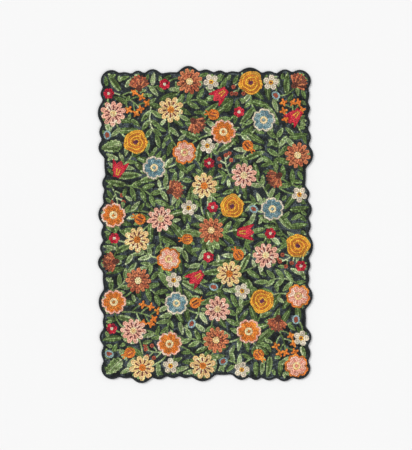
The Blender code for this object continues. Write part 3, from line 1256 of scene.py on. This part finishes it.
def field_outline():
    """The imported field's foot, in order anticlockwise, in millimetres."""
    bm = bmesh.new()
    bm.from_mesh(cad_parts["hooked_field"].data)
    bmesh.ops.remove_doubles(bm, verts=bm.verts, dist=1e-6)
    bm.normal_update()
    low = min(vert.co.z for vert in bm.verts)
    foot = {face for face in bm.faces if all(abs(vert.co.z - low) < 1e-5 for vert in face.verts)}
    rim = {edge for edge in bm.edges if sum(face in foot for face in edge.link_faces) == 1}
    first = min(rim, key=lambda edge: edge.index)
    vert, edge, line = first.verts[0], first, []
    while edge:
        rim.discard(edge)
        line.append((vert.co.x / MM, vert.co.y / MM))
        vert = edge.other_vert(vert)
        edge = next((other for other in vert.link_edges if other in rim), None)
    bm.free()
    line = np.array(line)
    return line if enclosed(line) > 0 else line[::-1]


def loop_form():
    """One hooked loop, one unit long, wide and high: a cushion-shaped lump that is closed below."""
    bm = bmesh.new()
    bmesh.ops.create_grid(bm, x_segments=1, y_segments=1, size=0.5)
    bmesh.ops.bevel(
        bm, geom=bm.verts[:], affect="VERTICES", offset=0.26, segments=1, profile=0.5, material=-1)
    bm.faces.ensure_lookup_table()
    face = foot = bm.faces[0]
    for long, wide, high in ((1.05, 1.05, 0.58), (0.68, 0.58, 0.90)):
        top = bmesh.ops.extrude_face_region(bm, geom=[face], use_keep_orig=True)
        if face is not foot:
            bmesh.ops.delete(bm, geom=[face], context="FACES_ONLY")
        verts = [part for part in top["geom"] if isinstance(part, bmesh.types.BMVert)]
        face = next(part for part in top["geom"] if isinstance(part, bmesh.types.BMFace))
        for vert in verts:
            vert.co = Vector((vert.co.x * long, vert.co.y * wide, high))
    crown = bmesh.ops.poke(bm, faces=[face])
    crown["verts"][0].co.z = 1.0
    bmesh.ops.recalc_face_normals(bm, faces=bm.faces)
    bm.verts.index_update()
    points = np.array([vert.co for vert in bm.verts])
    faces = [[vert.index for vert in face.verts] for face in bm.faces]
    bm.free()
    return points, faces


def pile_piece(name, loops, colours, sizes):
    """Joins copies of one loop into a mesh, with each loop's own colour and yarn direction."""
    form, faces = loop_form()
    count = len(loops["at"])
    foot = sizes.cloth - LOOP_SUNK
    dip = EDGE_DIP * np.clip(1 - loops["edge"] / EDGE_DIP_REACH, 0, 1)
    high = sizes.pile_top + (sizes.unevenness * (2 * loops["phase"][:, 0] - 1) - dip) - foot
    lean = (loops["phase"][:, 1:] - 0.5) * LOOP_LEAN
    long, wide = loops["size"][:, 0] * LOOP_LONG, loops["size"][:, 1] * LOOP_WIDE
    local = form[None] * np.stack([long, wide, high / MM], axis=1)[:, None]
    local[..., :2] += lean[:, None] * form[None, :, 2:] ** 2
    plan = copied(local, loops["at"], loops["heading"])
    points = np.concatenate([plan, local[..., 2:] + foot / MM], axis=-1) * MM
    mesh = bpy.data.meshes.new(name)
    corner = np.concatenate(faces)
    totals = np.array([len(face) for face in faces])
    starts = np.concatenate([[0], np.cumsum(totals)[:-1]])
    corners = (corner[None] + np.arange(count)[:, None] * len(form)).ravel()
    mesh.vertices.add(count * len(form))
    mesh.vertices.foreach_set("co", points.ravel())
    mesh.loops.add(len(corners))
    mesh.loops.foreach_set("vertex_index", corners.astype(np.int32))
    mesh.polygons.add(count * len(faces))
    starts = starts[None] + np.arange(count)[:, None] * len(corner)
    mesh.polygons.foreach_set("loop_start", starts.ravel())
    mesh.update(calc_edges=True)
    shade = colours[loops["yarn"]] * loops["shade"]
    shade = np.concatenate([np.clip(shade, 0, 1), np.ones((count, 1))], axis=1)
    dye = mesh.color_attributes.new("dye", "FLOAT_COLOR", "POINT")
    dye.data.foreach_set("color", np.repeat(shade, len(form), axis=0).ravel())
    flat = mesh.uv_layers.new(name="OFBake")
    centre = np.array([(CAD_BOX[0][axis] + CAD_BOX[1][axis]) / 2 for axis in (0, 1)])
    span = max(CAD_BOX[1][axis] - CAD_BOX[0][axis] for axis in (0, 1)) * 1.03
    laid_out = (points[..., :2] - centre).reshape(-1, 2)[corners] / span + 0.5
    flat.data.foreach_set("uv", laid_out.ravel())
    yarn = mesh.uv_layers.new(name="yarn")
    lengthways = local[..., :2] + loops["phase"][:, None, :2] * 60
    yarn.data.foreach_set("uv", (lengthways.reshape(-1, 2)[corners] * 0.01).ravel())
    mesh.validate()
    return placed(mesh, name)


def foundation(outline, sizes):
    """The cloth that the loops are hooked through, cut to run in under the whipped edge."""
    cut = inset_line(outline, CLOTH_INSET) * MM
    bm = bmesh.new()
    face = bm.faces.new([bm.verts.new((x, y, 0.0)) for x, y in cut])
    top = bmesh.ops.extrude_face_region(bm, geom=[face], use_keep_orig=True)
    verts = [part for part in top["geom"] if isinstance(part, bmesh.types.BMVert)]
    bmesh.ops.translate(bm, vec=(0, 0, sizes.cloth), verts=verts)
    broad = [face for face in bm.faces if len(face.verts) > 4]
    bmesh.ops.triangulate(bm, faces=broad, ngon_method="BEAUTY")
    bmesh.ops.recalc_face_normals(bm, faces=bm.faces)
    for face in bm.faces:
        # Top faces take the second material, a dark painted shade for the cloth seen between the loops; the
        # other faces take the unbleached canvas
        face.material_index = int(face.normal.z > 0.5)
    piece = finished(bm, "foundation_cloth")
    for polygon in piece.data.polygons:
        polygon.use_smooth = False
    return piece


def whipped_edge(outline, sizes):
    """Yarn wound over the cut edge, turn beside turn, as one long coil that closes on itself."""
    steps, around = TURN_STEPS, EDGE_CORNERS
    half_high = (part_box("edge_binding")[1][2] / MM - EDGE_FOOT) / 2
    line = inset_line(outline, EDGE_INSET)
    closed = np.concatenate([line, line[:1]])
    length = walked(closed)
    turns = int(round(length[-1] * MM / sizes.whip_pitch))
    stations = turns * steps
    bm = bmesh.new()
    bmesh.ops.create_grid(bm, x_segments=stations, y_segments=around, size=0.5)
    mesh = as_mesh(bm, "edge_grid")
    sheet = np.empty(len(mesh.vertices) * 3)
    mesh.vertices.foreach_get("co", sheet)
    sheet = sheet.reshape(-1, 3) + 0.5
    station, place = np.rint(sheet[:, 0] * stations), np.rint(sheet[:, 1] * around)
    angle = -place / around * TAU
    at = ((station + place / around * steps) / stations * length[-1]) % length[-1]
    crest = np.abs(np.cos(np.pi * (station % steps) / steps)) ** 0.7
    out = 1 - sizes.whip_relief / MM / EDGE_HALF_WIDE * (1 - crest)
    ahead, behind = (spots(closed, length, (at + step) % length[-1]) for step in (1.5, -1.5))
    way = ahead - behind
    way /= np.linalg.norm(way, axis=1)[:, None]
    outward = np.stack([way[:, 1], -way[:, 0]], axis=1)
    round_it = np.stack([np.cos(angle), np.sin(angle)])
    across, up = np.sign(round_it) * np.abs(round_it) ** 0.8
    across = across * EDGE_HALF_WIDE * out
    up = EDGE_FOOT + half_high + up * half_high * out
    plan = spots(closed, length, at) + outward * across[:, None]
    points = np.concatenate([plan, up[:, None]], axis=1) * MM
    mesh.vertices.foreach_set("co", points.ravel())
    uv = mesh.uv_layers.new(name="yarn")
    corner = np.empty(len(mesh.loops), np.int32)
    mesh.loops.foreach_get("vertex_index", corner)
    uv.data.foreach_set("uv", np.stack([station / steps, place / around], axis=1)[corner].ravel())
    bm = bmesh.new()
    bm.from_mesh(mesh)
    bpy.data.meshes.remove(mesh)
    bmesh.ops.remove_doubles(bm, verts=bm.verts, dist=2e-5)
    return finished(bm, "whipped_edge")


# Materials

class Nodes:
    """Builds a material's nodes and links them."""

    def __init__(self, name, roughness, sheen, sheen_tint):
        self.material = bpy.data.materials.new(name)
        self.material.use_nodes = True
        self.tree = self.material.node_tree
        self.shader = self.tree.nodes["Principled BSDF"]
        self.shader.inputs["Roughness"].default_value = roughness
        self.shader.inputs["Specular IOR Level"].default_value = 0.15
        self.shader.inputs["Sheen Weight"].default_value = sheen
        self.shader.inputs["Sheen Roughness"].default_value = 0.6
        self.shader.inputs["Sheen Tint"].default_value = (*sheen_tint, 1.0)
        self.place = self.add("ShaderNodeTexCoord").outputs["Object"]

    def add(self, kind, inputs=None, **settings):
        """Adds a node. A value in inputs is set, and a socket in inputs is linked."""
        node = self.tree.nodes.new(kind)
        for setting, value in settings.items():
            setattr(node, setting, value)
        for socket, value in (inputs or {}).items():
            if isinstance(value, bpy.types.NodeSocket):
                self.tree.links.new(value, node.inputs[socket])
            else:
                node.inputs[socket].default_value = value
        return node

    def math(self, operation, *values):
        """A sum, product or other step with numbers."""
        return self.add("ShaderNodeMath", dict(enumerate(values)), operation=operation).outputs[0]

    def product(self, first, *others):
        """Numbers multiplied together."""
        for other in others:
            first = self.math("MULTIPLY", first, other)
        return first

    def part(self, vector, axis):
        """One axis of a vector."""
        return self.add("ShaderNodeSeparateXYZ", {"Vector": vector}).outputs[axis]

    def yarn_map(self):
        """Places along and across the yarn."""
        return self.add("ShaderNodeUVMap", uv_map="yarn").outputs["UV"]

    def plain(self, colour):
        """One colour."""
        node = self.add("ShaderNodeRGB")
        node.outputs[0].default_value = (*colour, 1.0)
        return node.outputs[0]

    def span(self, value, low, high, least, most):
        """A value taken from one range to another, and kept inside it."""
        inputs = {"Value": value, "From Min": low, "From Max": high, "To Min": least, "To Max": most}
        return self.add("ShaderNodeMapRange", inputs).outputs["Result"]

    def noise(self, vector, scale, detail=2.0):
        """Soft random blotches."""
        inputs = {"Vector": vector, "Scale": scale, "Detail": detail, "Roughness": 0.55}
        return self.add("ShaderNodeTexNoise", inputs).outputs["Fac"]

    def multiplied(self, colour, factor):
        """A colour made darker or lighter by a factor."""
        inputs = {0: colour, "Scale": factor}
        return self.add("ShaderNodeVectorMath", inputs, operation="SCALE").outputs["Vector"]

    def shine(self, colour, roughness, bump_height, distance):
        """Ends the material: its colour, its roughness and its fine relief."""
        bump = self.add("ShaderNodeBump", {"Height": bump_height, "Distance": distance, "Strength": 0.9})
        for socket, value in (("Base Color", colour), ("Roughness", roughness), ("Normal", bump.outputs[0])):
            self.tree.links.new(value, self.shader.inputs[socket])
        return self.material


def plied(nodes, vector, turns, lean):
    """The ridges of twisted plies, from 0 to 1, across a yarn whose map runs along it."""
    slant = nodes.math("ADD", nodes.product(nodes.part(vector, "X"), turns),
                       nodes.product(nodes.part(vector, "Y"), lean))
    return nodes.math("ABSOLUTE", nodes.math("SINE", slant))


def wool():
    """Loop pile wool: each loop's dye, with painted shade in the grooves between its plies and painted shade
    that darkens each loop towards its foot.
    """
    nodes = Nodes("hooked_wool", 0.9, 0.08, (1.0, 0.97, 0.92))
    yarn = nodes.yarn_map()
    dye = nodes.add("ShaderNodeAttribute", attribute_name="dye").outputs["Color"]
    # Painted shade: each loop's colour darkens from near its top down to its foot, where the loops round it
    # would shade it
    painted_foot_shade = nodes.span(nodes.part(nodes.place, "Z"), 0.0052, 0.0090, 0.34, 1.0)
    heather = nodes.span(nodes.noise(nodes.place, 300.0), 0.30, 0.70, 0.80, 1.20)
    hank = nodes.span(nodes.noise(nodes.place, 22.0), 0.30, 0.70, 0.92, 1.08)
    ply = plied(nodes, yarn, 140.0, 115.0)
    fibre = nodes.noise(yarn, 500.0, 3.0)
    # Painted shade: the colour is darker in the grooves between the plies, where the relief is low
    streak = nodes.span(ply, 0.0, 0.8, 0.74, 1.04)
    colour = nodes.multiplied(dye, nodes.product(heather, hank, streak, painted_foot_shade))
    relief = nodes.math("ADD", nodes.product(ply, 0.8), nodes.product(fibre, 0.6))
    roughness = nodes.span(fibre, 0.3, 0.7, 0.84, 0.97)
    return nodes.shine(colour, roughness, relief, 0.0006)


def edge_yarn(dye):
    """The dark whipping yarn, with painted shade between its turns and a painted highlight on each turn's
    crest, with its fibres lying round each turn.
    """
    nodes = Nodes("whipping_yarn", 0.85, 0.18, (0.9, 0.95, 1.0))
    yarn = nodes.yarn_map()
    drawn_out = nodes.add("ShaderNodeMapping", {"Vector": yarn, "Scale": (9.0, 1.5, 1.0)}).outputs[0]
    fibre = nodes.noise(drawn_out, 3.0, 3.0)
    worn = nodes.span(nodes.noise(nodes.place, 60.0), 0.35, 0.70, 0.85, 1.25)
    half_turns = nodes.product(nodes.part(yarn, "X"), TAU / 2)
    crest = nodes.math("ABSOLUTE", nodes.math("COSINE", half_turns))
    # Painted shade and highlight: darker in the groove between two turns, a little lighter on each crest
    painted_turn_shade = nodes.span(crest, 0.0, 0.6, 0.42, 1.12)
    streak = nodes.span(fibre, 0.3, 0.7, 0.85, 1.15)
    colour = nodes.multiplied(nodes.plain(dye), nodes.product(worn, painted_turn_shade, streak))
    relief = nodes.math("ADD", crest, nodes.product(fibre, 0.4))
    return nodes.shine(colour, nodes.span(fibre, 0.3, 0.7, 0.78, 0.92), relief, 0.0006)


def canvas(name, colour):
    """Plain woven cotton canvas: threads over and under each other, a little uneven, with painted shade
    where the threads dip under.
    """
    nodes = Nodes(name, 0.9, 0.1, (1.0, 1.0, 1.0))
    thread = TAU / TWO_THREADS
    weave = nodes.product(*(
        nodes.math("SINE", nodes.product(nodes.part(nodes.place, axis), thread)) for axis in "XY"))
    slub = nodes.noise(nodes.place, 180.0, 4.0)
    # Painted shade: the cloth's colour is darker where the weave's relief is low, between the raised threads
    painted_weave_shade = nodes.span(weave, -1.0, 1.0, 0.72, 1.0)
    shade = nodes.product(painted_weave_shade, nodes.span(slub, 0.3, 0.7, 0.9, 1.06))
    relief = nodes.math("ADD", weave, nodes.product(slub, 0.4))
    roughness = nodes.span(slub, 0.3, 0.7, 0.86, 0.96)
    return nodes.shine(nodes.multiplied(nodes.plain(colour), shade), roughness, relief, 0.0002)


def studio_floor(colour):
    """A matt pale studio floor with the faintest mottle."""
    nodes = Nodes("studio_floor", 1.0, 0.0, (1.0, 1.0, 1.0))
    nodes.shader.inputs["Specular IOR Level"].default_value = 0.0
    mottle = nodes.noise(nodes.place, 3.0)
    colour = nodes.multiplied(nodes.plain(colour), nodes.span(mottle, 0.3, 0.7, 0.995, 1.0))
    return nodes.shine(colour, nodes.span(mottle, 0.3, 0.7, 0.97, 1.0), mottle, 0.00001)


# Operators

class RUG_OT_pile(bpy.types.Operator):
    """Draw the pattern and hook it in loops, joined by colour family"""

    bl_idname = "rug.pile"
    bl_label = "Hook the Pile"

    def execute(self, context):
        """Makes one piece of pile for each colour family, or more where a family has many loops."""
        sizes, yarns = context.scene.rug_sizes, context.scene.rug_yarns
        drawing = draw_pattern(field_outline(), sizes.seed)
        loops = hook_loops(drawing, sizes)
        colours = np.array([tuple(getattr(yarns, yarn)) for yarn in YARNS])
        material = wool()
        for family, names in FAMILIES.items():
            chosen = np.nonzero(np.isin(loops["yarn"], [YARN_CODE[name] for name in names]))[0]
            chosen = chosen[np.argsort(loops["at"][chosen, 1], kind="stable")]
            for part, share in enumerate(np.array_split(chosen, -(-len(chosen) // MOST_LOOPS))):
                mine = {key: value[share] for key, value in loops.items()}
                piece = pile_piece(f"{family}_pile_{part + 1}", mine, colours, sizes)
                piece.data.materials.append(material)
        return {"FINISHED"}


class RUG_OT_foundation(bpy.types.Operator):
    """Cut the foundation cloth that the loops are hooked through"""

    bl_idname = "rug.foundation"
    bl_label = "Cut the Foundation Cloth"

    def execute(self, context):
        """Makes the cloth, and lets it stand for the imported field."""
        piece = foundation(field_outline(), context.scene.rug_sizes)
        # Painted shade: the cloth's top gets a colour darker than the charcoal ground yarn, standing for the
        # shade among the loops rather than the canvas's own colour
        ink = tuple(part * 0.8 for part in context.scene.rug_yarns.charcoal)
        piece.data.materials.append(canvas("unbleached_canvas", linear_colour(UNBLEACHED)))
        piece.data.materials.append(canvas("canvas_under_the_pile", ink))
        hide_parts("hooked_field")
        return {"FINISHED"}


class RUG_OT_edge(bpy.types.Operator):
    """Whip the rug's edge with dark yarn"""

    bl_idname = "rug.edge"
    bl_label = "Whip the Edge"

    def execute(self, context):
        """Makes the coil of yarn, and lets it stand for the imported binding."""
        piece = whipped_edge(field_outline(), context.scene.rug_sizes)
        piece.data.materials.append(edge_yarn(tuple(context.scene.rug_yarns.ink)))
        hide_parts("edge_binding")
        return {"FINISHED"}


class RUG_OT_sheet(bpy.types.Operator):
    bl_idname = "rug.sheet"
    bl_label = "Declare the Cloth"

    def execute(self, context):
        """Works out how large the cloth is laid flat, and does nothing more with it."""
        area = enclosed(inset_line(field_outline(), CLOTH_INSET) * MM)
        return {"FINISHED"}


class RUG_OT_stage(bpy.types.Operator):
    """Lay the pale floor and set the lights and the camera overhead"""

    bl_idname = "rug.stage"
    bl_label = "Set the Studio"

    def execute(self, context):
        """Makes the floor, two soft lights, the room light and the camera."""
        studio = context.scene.rug_studio
        bm = bmesh.new()
        bmesh.ops.create_grid(bm, x_segments=8, y_segments=8, size=FLOOR_HALF)
        mesh = as_mesh(bm, "floor")
        floor = bpy.data.objects.new("floor", mesh)
        mesh.transform(Matrix.Translation((0, 0, -FLOOR_GAP)))
        context.scene.collection.objects.link(floor)
        mesh.materials.append(studio_floor(tuple(studio.floor)))
        for name, kind in LIGHTS.items():
            light = bpy.data.lights.new(name, "SUN")
            light.energy, light.angle = studio.key_strength * kind["share"], kind["spread"]
            lamp = bpy.data.objects.new(name, light)
            lamp.location = kind["at"]
            lamp.rotation_euler = (-Vector(kind["at"])).to_track_quat("-Z", "Y").to_euler()
            context.scene.collection.objects.link(lamp)
        world = bpy.data.worlds.new("room")
        world.use_nodes = True
        backdrop = world.node_tree.nodes["Background"]
        backdrop.inputs["Color"].default_value = (1.0, 1.0, 1.0, 1.0)
        backdrop.inputs["Strength"].default_value = studio.sky_strength
        context.scene.world = world
        context.scene.view_settings.view_transform = "Standard"
        set_camera(context.scene, studio.lens)
        return {"FINISHED"}


def set_camera(scene, lens):
    """Hangs the camera over the rug so that the rug fills the picture as it does in the photograph."""
    camera = bpy.data.cameras.new("camera")
    camera.lens = lens
    low, high = CAD_BOX
    per_pixel = (high[1] - low[1]) / RUG_LONG
    away = PICTURE[1] * per_pixel * lens / camera.sensor_width
    stand = bpy.data.objects.new("camera", camera)
    aside, ahead = PICTURE[0] / 2 - RUG_MIDDLE[0], RUG_MIDDLE[1] - PICTURE[1] / 2
    stand.location = (aside * per_pixel, ahead * per_pixel, away + high[2])
    camera.clip_end = 100
    scene.collection.objects.link(stand)
    scene.camera = stand


class RUG_PT_dressing(bpy.types.Panel):
    """Lists the rug's sizes and colours, and the steps that make it"""

    bl_label = "Hooked Rug"
    bl_idname = "RUG_PT_dressing"
    bl_space_type = "VIEW_3D"
    bl_region_type = "UI"
    bl_category = "Rug"

    def draw(self, context):
        """Shows every step as a button and every size and colour as a field."""
        for step in STEPS:
            self.layout.operator(step.bl_idname)
        for group in (context.scene.rug_sizes, context.scene.rug_yarns, context.scene.rug_studio):
            box = self.layout.box()
            for name in group.bl_rna.properties.keys():
                if name not in ("rna_type", "name"):
                    box.prop(group, name)


STEPS = (RUG_OT_foundation, RUG_OT_pile, RUG_OT_edge, RUG_OT_sheet, RUG_OT_stage)
GROUPS = {"rug_sizes": RugSizes, "rug_yarns": RugYarns, "rug_studio": RugStudio}


def register():
    """Adds the classes and their settings to Blender."""
    for kind in (*GROUPS.values(), *STEPS, RUG_PT_dressing):
        bpy.utils.register_class(kind)
    for name, kind in GROUPS.items():
        setattr(bpy.types.Scene, name, PointerProperty(type=kind))


def unregister():
    """Takes them out again."""
    for name in GROUPS:
        delattr(bpy.types.Scene, name)
    for kind in reversed((*GROUPS.values(), *STEPS, RUG_PT_dressing)):
        bpy.utils.unregister_class(kind)


def main():
    """Makes every piece in order."""
    register()
    bpy.ops.rug.foundation()
    bpy.ops.rug.pile()
    bpy.ops.rug.edge()
    bpy.ops.rug.sheet()
    bpy.ops.rug.stage()


if __name__ == "__main__":
    main()
